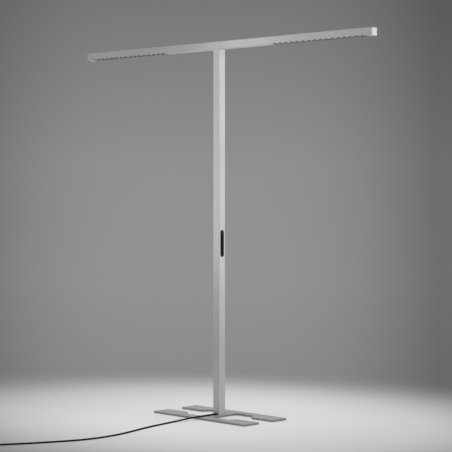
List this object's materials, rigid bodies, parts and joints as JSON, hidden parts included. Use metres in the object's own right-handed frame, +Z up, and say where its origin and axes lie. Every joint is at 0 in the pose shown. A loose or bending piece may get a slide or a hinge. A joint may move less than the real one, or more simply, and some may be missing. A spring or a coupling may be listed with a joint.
{
  "type": "office floor lamp",
  "caption": "T-shaped office floor lamp: a long slim two-armed LED head on a square mast with a flat H-shaped base, a key strip and a mains lead.",
  "frame": {"origin": "on the floor under the middle of the mast, level with the underside of the glides", "axes": "+Z up along the mast, +X along the head towards the arm on the control strip's side, -Y the side the mains lead leaves"},
  "size_m": [2.085, 1.6093, 1.95],
  "materials": {
    "silver_head": "fine satin anodised or powder-coated silver",
    "silver_mast": "satin silver",
    "grey_base": "silver-grey powder coat",
    "black_rubber": "matt rubber",
    "plain_steel": "zinc-plated steel",
    "raw_aluminium": "machined",
    "louvre_plastic": "dark glossy moulded plastic",
    "opal_plastic": "opal acrylic, satin",
    "circuit_board": "white solder resist",
    "led_phosphor": "yellow phosphor",
    "black_gloss": "glossy black acrylic",
    "key_black": "satin black",
    "black_plastic": "matt black moulding",
    "lens_plastic": "smoked lens",
    "driver_casing": "white moulding",
    "foam_pad": "adhesive foam",
    "wire_sleeve": "white silicone sleeve",
    "lead_sheath": "black PVC sheath",
    "tie_strap": "black hook-and-loop strap",
    "plug_plastic": "black moulded plug",
    "plug_metal": "nickel-plated brass"
  },
  "bodies": {
    "lamp": {"arm_joiner": "raw_aluminium", "base_glides": "black_rubber", "base_plate": "grey_base", "base_screws": "plain_steel", "coil_tie": "tie_strap", "control_board": "circuit_board", "control_cover": "black_gloss", "control_tray": "black_plastic", "control_wire": "wire_sleeve", "driver_pad": "foam_pad", "head_block": "raw_aluminium", "head_bolts": "plain_steel", "head_wires": "wire_sleeve", "inner_wires": "wire_sleeve", "joiner_screws": "plain_steel", "joint_collar": "silver_head", "key_switches": "plain_steel", "lead_coil": "lead_sheath", "lead_gland": "black_rubber", "led_driver": "driver_casing", "left_end_cap": "silver_head", "left_led_board": "circuit_board", "left_leds": "led_phosphor", "left_louvre": "louvre_plastic", "left_profile": "silver_head", "left_top_board": "circuit_board", "left_top_diffuser": "opal_plastic", "left_top_leds": "led_phosphor", "mains_lead": "lead_sheath", "mast_foot": "raw_aluminium", "mast_screws": "plain_steel", "mast_tube": "silver_mast", "plug_body": "plug_plastic", "plug_clips": "plug_metal", "plug_pins": "plug_metal", "presence_sensor": "black_plastic", "right_end_cap": "silver_head", "right_led_board": "circuit_board", "right_leds": "led_phosphor", "right_louvre": "louvre_plastic", "right_profile": "silver_head", "right_top_board": "circuit_board", "right_top_diffuser": "opal_plastic", "right_top_leds": "led_phosphor", "sensor_lens": "lens_plastic", "supply_wires": "wire_sleeve", "terminal_block": "driver_casing"},
    "power_button": {"power_key": "key_black"},
    "dimmer_button": {"dimmer_key": "key_black"},
    "brighter_button": {"brighter_key": "key_black"}
  },
  "joints": [
    {"name": "power_press", "type": "slide", "parent": "lamp", "child": "power_button", "axis": [-1, 0, 0], "range_m": [0, 0.0006], "stiffness_N_per_m": 1500, "springref_m": -0.0006},
    {"name": "dimmer_press", "type": "slide", "parent": "lamp", "child": "dimmer_button", "axis": [-1, 0, 0], "range_m": [0, 0.0006], "stiffness_N_per_m": 1500, "springref_m": -0.0006},
    {"name": "brighter_press", "type": "slide", "parent": "lamp", "child": "brighter_button", "axis": [-1, 0, 0], "range_m": [0, 0.0006], "stiffness_N_per_m": 1500, "springref_m": -0.0006}
  ]
}
